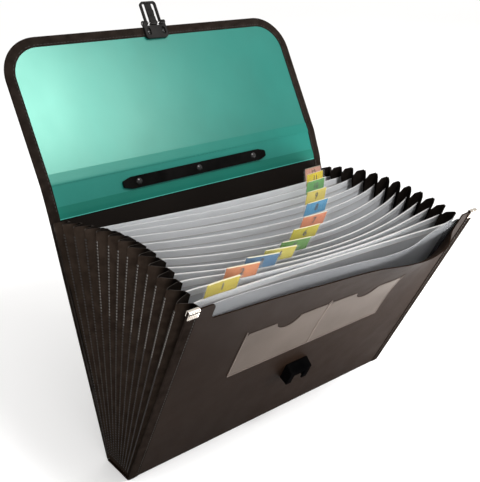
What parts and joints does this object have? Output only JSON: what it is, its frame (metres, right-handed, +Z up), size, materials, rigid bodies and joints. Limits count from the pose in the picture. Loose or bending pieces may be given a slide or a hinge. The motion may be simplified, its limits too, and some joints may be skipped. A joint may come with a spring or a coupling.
{
  "type": "accordion file folder",
  "caption": "Expanding document file standing open like a fan: pleated gussets, tabbed dividers, leaning covers, a folding flap with clasp, carry handle and card pockets.",
  "frame": {"origin": "centre of the bottom strip's underside, on the surface that the folder stands on", "axes": "+X to the right along the covers, +Y from the front cover to the back, +Z up"},
  "size_m": [0.335, 0.3182, 0.3896],
  "materials": {
    "cover_sheet": "fine matte grain, dark brown-black polypropylene",
    "woven_tape": "black woven binding tape",
    "pleat_fabric": "black coated cloth, folded and stitched",
    "frosted_sheet": "translucent frosted polypropylene",
    "card_film": "frosted clear film over the dark cover",
    "teal_sheet": "satin teal polypropylene",
    "black_moulding": "black injection-moulded plastic",
    "catch_moulding": "dark moulded plastic",
    "clip_metal": "bright pressed metal",
    "rivet_metal": "black painted rivets",
    "pin_metal": "dark steel pin",
    "tab_olive": "coloured card in a clear holder",
    "tab_orange": "coloured card in a clear holder",
    "tab_blue": "coloured card in a clear holder",
    "tab_yellow": "coloured card in a clear holder",
    "tab_green": "coloured card in a clear holder",
    "tab_salmon": "coloured card in a clear holder"
  },
  "bodies": {
    "base": {"base_strip": "cover_sheet", "left_gusset": "pleat_fabric", "right_gusset": "pleat_fabric"},
    "front": {"front_cover": "cover_sheet", "front_leaf": "frosted_sheet", "corner_clip_left": "clip_metal", "corner_clip_right": "clip_metal", "catch_body": "black_moulding", "catch_tongue": "catch_moulding", "catch_rivets": "rivet_metal", "card_pocket_left": "card_film", "card_pocket_right": "card_film", "front_binding_left": "woven_tape", "front_binding_right": "woven_tape"},
    "back": {"back_cover": "cover_sheet", "back_binding_left": "woven_tape", "back_binding_right": "woven_tape"},
    "spine": {"spine_panel": "cover_sheet", "spine_lining": "teal_sheet", "spine_binding_left": "woven_tape", "spine_binding_right": "woven_tape", "handle_backplate": "black_moulding", "handle_base": "black_moulding", "handle_rivets": "rivet_metal"},
    "grip": {"handle_grip": "black_moulding"},
    "flap": {"flap_panel": "cover_sheet", "flap_lining": "teal_sheet", "flap_binding": "woven_tape", "buckle_base": "black_moulding", "buckle_rivets": "rivet_metal", "clasp_pin": "pin_metal"},
    "clasp": {"clasp_loop": "black_moulding"},
    "divider_01_body": {"divider_01": "frosted_sheet", "index_tab_01": "tab_olive"},
    "divider_02_body": {"divider_02": "frosted_sheet", "index_tab_02": "tab_orange"},
    "divider_03_body": {"divider_03": "frosted_sheet", "index_tab_03": "tab_blue"},
    "divider_04_body": {"divider_04": "frosted_sheet", "index_tab_04": "tab_yellow"},
    "divider_05_body": {"divider_05": "frosted_sheet", "index_tab_05": "tab_green"},
    "divider_06_body": {"divider_06": "frosted_sheet", "index_tab_06": "tab_olive"},
    "divider_07_body": {"divider_07": "frosted_sheet", "index_tab_07": "tab_salmon"},
    "divider_08_body": {"divider_08": "frosted_sheet", "index_tab_08": "tab_blue"},
    "divider_09_body": {"divider_09": "frosted_sheet", "index_tab_09": "tab_yellow"},
    "divider_10_body": {"divider_10": "frosted_sheet", "index_tab_10": "tab_green"},
    "divider_11_body": {"divider_11": "frosted_sheet", "index_tab_11": "tab_yellow"},
    "divider_12_body": {"divider_12": "frosted_sheet", "index_tab_12": "tab_salmon"}
  },
  "joints": [
    {"name": "fan_close", "type": "hinge", "parent": "base", "child": "front", "pos_m": [0, -0.018, 0.0015], "axis": [-1, 0, 0], "range_deg": [0, 26], "deforming": ["left_gusset", "right_gusset"]},
    {"name": "divider_01_turn", "type": "hinge", "parent": "base", "child": "divider_01_body", "pos_m": [0, -0.01523, 0.0015], "axis": [-1, 0, 0], "range_deg": [0, 22.63]},
    {"name": "divider_02_turn", "type": "hinge", "parent": "base", "child": "divider_02_body", "pos_m": [0, -0.01246, 0.0015], "axis": [-1, 0, 0], "range_deg": [0, 19.24]},
    {"name": "divider_03_turn", "type": "hinge", "parent": "base", "child": "divider_03_body", "pos_m": [0, -0.00969, 0.0015], "axis": [-1, 0, 0], "range_deg": [0, 15.86]},
    {"name": "divider_04_turn", "type": "hinge", "parent": "base", "child": "divider_04_body", "pos_m": [0, -0.00692, 0.0015], "axis": [-1, 0, 0], "range_deg": [0, 12.47]},
    {"name": "divider_05_turn", "type": "hinge", "parent": "base", "child": "divider_05_body", "pos_m": [0, -0.00415, 0.0015], "axis": [-1, 0, 0], "range_deg": [0, 9.09]},
    {"name": "divider_06_turn", "type": "hinge", "parent": "base", "child": "divider_06_body", "pos_m": [0, -0.00138, 0.0015], "axis": [-1, 0, 0], "range_deg": [0, 5.7]},
    {"name": "divider_07_turn", "type": "hinge", "parent": "base", "child": "divider_07_body", "pos_m": [0, 0.00138, 0.0015], "axis": [-1, 0, 0], "range_deg": [0, 2.32]},
    {"name": "divider_08_turn", "type": "hinge", "parent": "base", "child": "divider_08_body", "pos_m": [0, 0.00415, 0.0015], "axis": [-1, 0, 0], "range_deg": [-1.09, 0]},
    {"name": "divider_09_turn", "type": "hinge", "parent": "base", "child": "divider_09_body", "pos_m": [0, 0.00692, 0.0015], "axis": [-1, 0, 0], "range_deg": [-4.47, 0]},
    {"name": "divider_10_turn", "type": "hinge", "parent": "base", "child": "divider_10_body", "pos_m": [0, 0.00969, 0.0015], "axis": [-1, 0, 0], "range_deg": [-7.86, 0]},
    {"name": "divider_11_turn", "type": "hinge", "parent": "base", "child": "divider_11_body", "pos_m": [0, 0.01246, 0.0015], "axis": [-1, 0, 0], "range_deg": [-11.24, 0]},
    {"name": "divider_12_turn", "type": "hinge", "parent": "base", "child": "divider_12_body", "pos_m": [0, 0.01523, 0.0015], "axis": [-1, 0, 0], "range_deg": [-14.63, 0]},
    {"name": "back_turn", "type": "hinge", "parent": "base", "child": "back", "pos_m": [0, 0.018, 0.0015], "axis": [-1, 0, 0], "range_deg": [-18.01, 0]},
    {"name": "flap_fold_lower", "type": "hinge", "parent": "back", "child": "spine", "pos_m": [0, 0.08969, 0.22215], "axis": [1, 0, 0], "range_deg": [-10, 45]},
    {"name": "flap_fold_upper", "type": "hinge", "parent": "spine", "child": "flap", "pos_m": [0, 0.09963, 0.24725], "axis": [1, 0, 0], "range_deg": [-30, 60]},
    {"name": "grip_swing", "type": "hinge", "parent": "spine", "child": "grip", "pos_m": [0, 0.10229, 0.23168], "axis": [1, 0, 0], "range_deg": [-5, 110]},
    {"name": "clasp_turn", "type": "hinge", "parent": "flap", "child": "clasp", "pos_m": [0, 0.16548, 0.36969], "axis": [1, 0, 0], "range_deg": [0, 100]}
  ],
  "couplings": [
    {"joint": "divider_01_turn", "follows": "fan_close", "ratio": 0.86982},
    {"joint": "divider_02_turn", "follows": "fan_close", "ratio": 0.73964},
    {"joint": "divider_03_turn", "follows": "fan_close", "ratio": 0.60947},
    {"joint": "divider_04_turn", "follows": "fan_close", "ratio": 0.47929},
    {"joint": "divider_05_turn", "follows": "fan_close", "ratio": 0.34911},
    {"joint": "divider_06_turn", "follows": "fan_close", "ratio": 0.21893},
    {"joint": "divider_07_turn", "follows": "fan_close", "ratio": 0.088757},
    {"joint": "divider_08_turn", "follows": "fan_close", "ratio": -0.04142},
    {"joint": "divider_09_turn", "follows": "fan_close", "ratio": -0.1716},
    {"joint": "divider_10_turn", "follows": "fan_close", "ratio": -0.30178},
    {"joint": "divider_11_turn", "follows": "fan_close", "ratio": -0.43195},
    {"joint": "divider_12_turn", "follows": "fan_close", "ratio": -0.56213},
    {"joint": "back_turn", "follows": "fan_close", "ratio": -0.69231}
  ]
}
